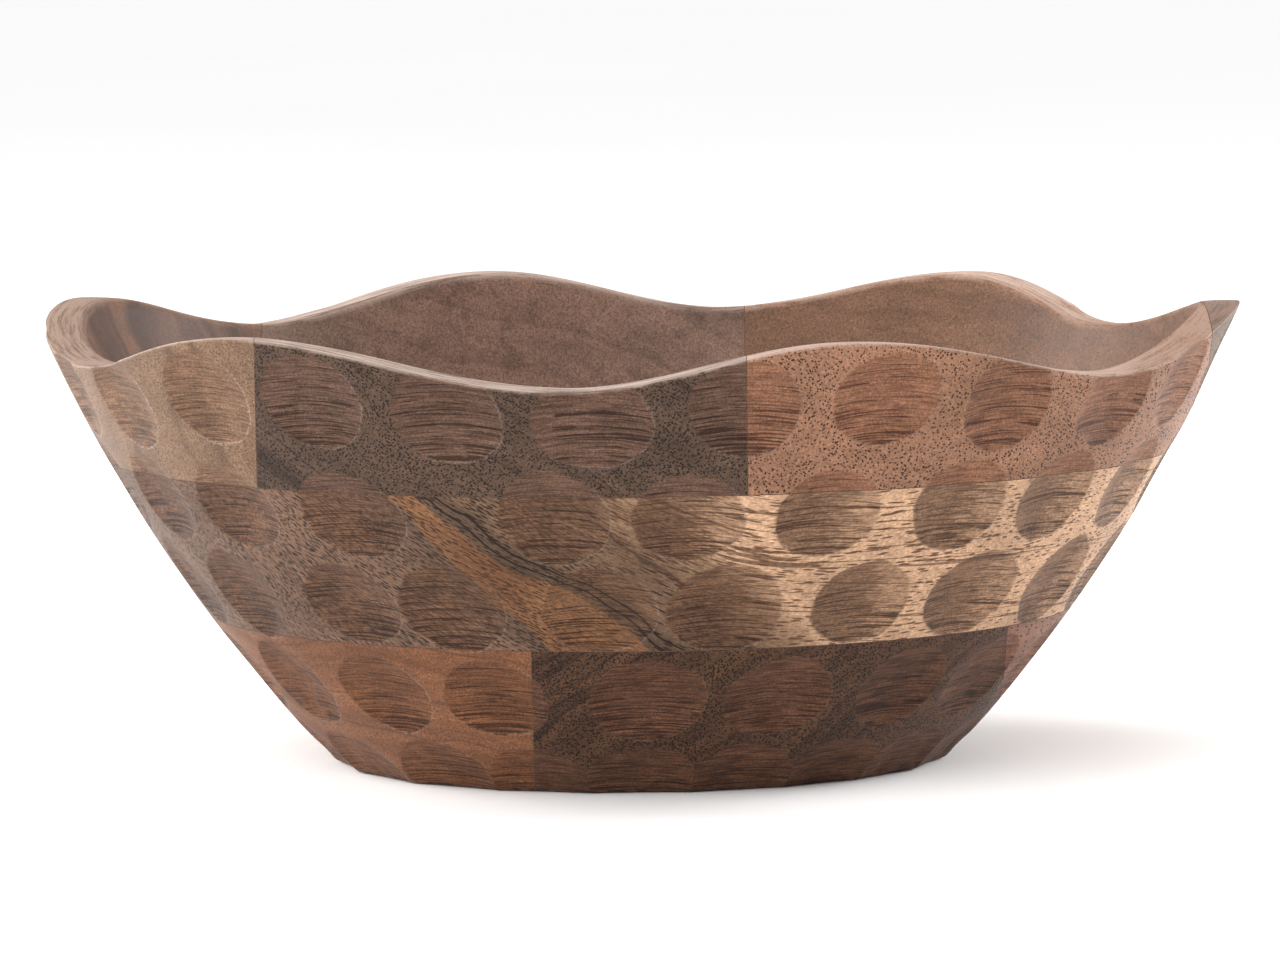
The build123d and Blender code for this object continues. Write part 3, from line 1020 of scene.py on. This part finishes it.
LOOKS = {
    "upper_left_board": {
        "light": (153, 123, 100), "dark": (130, 103, 82), "seed": 1, "rings": (0.9, 0.0, 0.3),
        "pore_gap": 0.6, "pore": (84, 60, 45), "edge_wear_and_highlight": 1.6, "streak_share": 0.55,
        "floor_light": (158, 122, 98), "floor_dark": (114, 82, 63), "inside_light": (142, 99, 73),
        "inside_dark": (86, 53, 37), "inside_bands": 1.0, "slot": "tan_wood",
    },
    "upper_centre_front_board": {
        "light": (105, 83, 70), "dark": (84, 65, 54), "seed": 2, "rings": (0.6, 0.0, 0.8),
        "spacing": 3.0, "pore_gap": 0.66, "pore": (20, 13, 10), "pore_reach": 0.45,
        "floor_light": (138, 106, 90), "floor_dark": (92, 64, 52), "slot": "grey_brown_wood",
    },
    "upper_centre_back_board": {
        "light": (120, 92, 78), "dark": (98, 74, 62), "seed": 3, "floor_light": (128, 96, 80),
        "floor_dark": (92, 64, 52), "inside_light": (150, 118, 103), "inside_dark": (118, 90, 78),
        "slot": "dark_brown_wood",
    },
    "upper_right_board": {
        "light": (180, 134, 108), "dark": (164, 118, 94), "seed": 4, "rings": (0.15, 0.0, 1.0),
        "pore_gap": 0.75, "pore_reach": 0.38, "pore": (50, 25, 18), "pore_share": 1.0, "lines": 0.1,
        "keep": 0.15, "keep_right": 0.3, "floor_light": (171, 120, 92), "floor_dark": (122, 79, 58),
        "bands": 0.2, "streak": (74, 38, 27), "inside_light": (136, 100, 78),
        "inside_dark": (114, 82, 62), "inside_cloud": 0.1, "slot": "salmon_wood",
    },
    "upper_right_tip": {
        "light": (130, 108, 93), "dark": (108, 88, 75), "seed": 5, "rim_side": (134, 109, 95),
        "rings": (0.8, 0.0, 0.6), "floor_light": (158, 126, 106), "floor_dark": (122, 94, 78),
        "pore": (90, 68, 54), "inside_light": (146, 114, 96), "inside_dark": (126, 98, 80),
        "slot": "tan_wood",
    },
    "middle_front_board": {
        "seed": 6, "grain": "X", "rings": (0.56, 0.0, 0.83), "floor_light": (134, 98, 75),
        "floor_dark": (86, 58, 44),
        "keep": 0.15, "keep_right": 0.5, "pore_gap": 0.7, "pore_run": 0.12, "pore_reach": 0.40,
        "pore_side": 0.3, "floor_closed": 0.45, "fibre_run": 0.06, "slant": 0.55,
        "slant_from": 22.0,
        "left_pores": {"pore_gap": 0.56, "pore_run": 0.45, "pore_reach": 0.48, "pore_side": 1.0},
        "figure": diagonal_figure, "slot": "striped_wood", "pore": (30, 19, 14), "spacing": 9.0,
        "lines": 0.15,
    },
    "middle_left_board": {
        "light": (150, 124, 110), "dark": (122, 98, 86), "seed": 7, "grain": "X",
        "rings": (0.0, 0.5, 0.86), "floor_light": (142, 112, 98), "floor_dark": (100, 76, 64),
        "slot": "grey_brown_wood",
    },
    "middle_right_board": {
        "light": (196, 162, 132), "dark": (174, 140, 112), "seed": 8, "grain": "X",
        "rings": (0.0, 0.5, 0.86), "floor_light": (146, 112, 92), "floor_dark": (108, 80, 64),
        "keep": 0.1, "slot": "blonde_wood",
    },
    "middle_back_board": {
        "light": (138, 108, 90), "dark": (112, 86, 70), "seed": 9, "grain": "X",
        "rings": (0.3, 0.0, 0.95), "pore_run": 0.24, "pore_reach": 0.46, "pore_gap": 0.8,
        "floor_light": (136, 104, 84), "floor_dark": (94, 68, 54), "slot": "grey_brown_wood",
    },
    # The lower boards' colours are set darker to stand for the dimmer light near the base: painted
    # shade, on top of each wood's own tone.
    "lower_left_board": {
        "light": (156, 107, 77), "dark": (130, 86, 60), "seed": 10, "rings": (0.1, 0.0, 1.0),
        "pore": (92, 60, 44), "pore_gap": 0.8, "edge_wear_and_highlight": 0.7, "bands": 0.9,
        "floor_light": (144, 97, 68), "floor_dark": (88, 54, 34), "slot": "salmon_wood",
    },
    "lower_centre_board": {
        "light": (110, 78, 59), "dark": (79, 56, 43), "seed": 11, "rings": (-0.6, 0.0, 0.8),
        "spacing": 4.5, "pore_gap": 0.62, "pore": (18, 11, 9), "bands": 0.8, "pore_reach": 0.48,
        "floor_light": (138, 95, 73), "floor_dark": (74, 47, 35), "edge_wear_and_highlight": 0.2,
        "slot": "dark_brown_wood",
    },
    "lower_right_board": {
        "light": (166, 122, 102), "dark": (130, 92, 75), "seed": 12, "rings": (0.3, 0.0, 0.95),
        "floor_light": (158, 111, 91), "floor_dark": (113, 75, 60), "slot": "dark_brown_wood",
    },
}


def glue_material():
    """Dark brown glue, squeezed flush with the wood."""
    g = Graph("glue_line")
    grit = g.noise(g.scaled(g.place(), GLUE_RATE))
    colour = g.mix(g.step(grit, 0.3, 0.7), srgb(66, 47, 37), srgb(98, 74, 60))
    roughness = g.step(grit, 0.2, 0.8, 0.55, 0.75)
    return g.finish(colour, roughness, g.times(grit, GRIT_RELIEF), 0.0, GLUE_BUMP)


def floor_material():
    """Plain pale floor."""
    g = Graph("pale_floor")
    haze = g.noise(g.scaled(g.place(), HAZE_RATE), 1.0)
    colour = g.mix(haze, srgb(254, 254, 254), srgb(250, 250, 250))
    return g.finish(colour, FLOOR_ROUGHNESS, 0.0, 0.0, 0.0)


# ---------------------------------------------------------------- stage, light and camera
# Half the floor's side and its drop below the bowl, in metres
STAGE_HALF = 20.0
STAGE_DROP = 0.0002
# Surroundings, and the main light from the upper left: strength, angle across and way it shines
SURROUNDINGS = 0.55
KEY_ENERGY = 3.0
KEY_ANGLE = math.radians(60)
KEY_WAY = (1.0, 1.25, -0.85)
# Soft square lights: name, place, side in metres, and watts; all are aimed at LIGHT_TARGET
AREA_LIGHTS = [
    ("top", (0.0, 0.3, 2.4), 1.6, 14.0),
    ("left_edge", (-1.2, 0.7, 0.5), 0.7, 22.0),
    ("right_edge", (1.2, 0.7, 0.5), 0.7, 22.0),
]
LIGHT_TARGET = (0.0, 0.0, 0.06)
# Camera: a long lens a little above the rim, looking slightly down, with the view's slight roll
SENSOR_WIDTH = 36.0
LENS = 234.7
CAMERA_PLACE = (0.0, -2.104, 0.261)
CAMERA_TILT = math.radians(84.81)
CAMERA_ROLL = math.radians(-0.69)


def make_stage():
    """A wide pale floor under the bowl."""
    mesh = bpy.data.meshes.new("floor")
    corners = [(-STAGE_HALF, -STAGE_HALF, 0), (STAGE_HALF, -STAGE_HALF, 0)]
    corners += [(STAGE_HALF, STAGE_HALF, 0), (-STAGE_HALF, STAGE_HALF, 0)]
    mesh.from_pydata(corners, [], [(0, 1, 2, 3)])
    mesh.materials.append(floor_material())
    floor = bpy.data.objects.new("floor", mesh)
    floor.location.z = -STAGE_DROP
    bpy.context.scene.collection.objects.link(floor)


def aimed(name, light, way):
    """A light's object, in the scene and shining along a direction."""
    obj = bpy.data.objects.new(name, light)
    obj.rotation_euler = Vector(way).to_track_quat("-Z", "Y").to_euler()
    bpy.context.scene.collection.objects.link(obj)
    return obj


def area_light(name, place, size, energy):
    """A soft square light aimed at the bowl."""
    light = bpy.data.lights.new(name, "AREA")
    light.shape = "SQUARE"
    light.size = size
    light.energy = energy
    aimed(name, light, Vector(LIGHT_TARGET) - Vector(place)).location = place


def make_light():
    """White surroundings and large soft lights, the main one from the upper left."""
    world = bpy.data.worlds.new("studio")
    world.use_nodes = True
    background = world.node_tree.nodes["Background"]
    background.inputs["Color"].default_value = (1.0, 1.0, 1.0, 1.0)
    background.inputs["Strength"].default_value = SURROUNDINGS
    bpy.context.scene.world = world
    key = bpy.data.lights.new("key", "SUN")
    key.energy = KEY_ENERGY
    key.angle = KEY_ANGLE
    aimed("key", key, KEY_WAY)
    for light in AREA_LIGHTS:
        area_light(*light)


def make_camera():
    """The camera at the photograph's angle."""
    data = bpy.data.cameras.new("camera")
    data.sensor_width = SENSOR_WIDTH
    data.lens = LENS
    camera = bpy.data.objects.new("camera", data)
    tilt = Matrix.Rotation(CAMERA_TILT, 4, "X")
    roll = Matrix.Rotation(CAMERA_ROLL, 4, "Z")
    camera.matrix_world = Matrix.Translation(CAMERA_PLACE) @ tilt @ roll
    bpy.context.scene.collection.objects.link(camera)
    bpy.context.scene.camera = camera


# ---------------------------------------------------------------- the bowl
def make_bowl():
    """Every board and glue node, cut out of one carved surface."""
    whole = master_mesh()
    course = courses(whole)
    for name, (part, planes) in board_planes().items():
        look = {**BASE_LOOK, **LOOKS[name]}
        piece(name, part_of(course[part], planes), wood(name, look))
    glue = glue_material()
    for name, (part, axis, joints) in BOARD_GLUE.items():
        films = [part_of(course[part], film(axis, joint)) for joint in joints]
        piece(name, joined(films), glue)
    for name, height in COURSE_GLUE.items():
        bm = near_band(whole, height, height)
        cut_away(bm, *level(height - GLUE / 2, 1))
        cut_away(bm, *level(height + GLUE / 2, -1))
        piece(name, bm, glue)
    for bm in course.values():
        bm.free()
    bpy.data.meshes.remove(whole)


make_bowl()
make_stage()
make_light()
make_camera()
bpy.context.scene.view_settings.view_transform = "Standard"
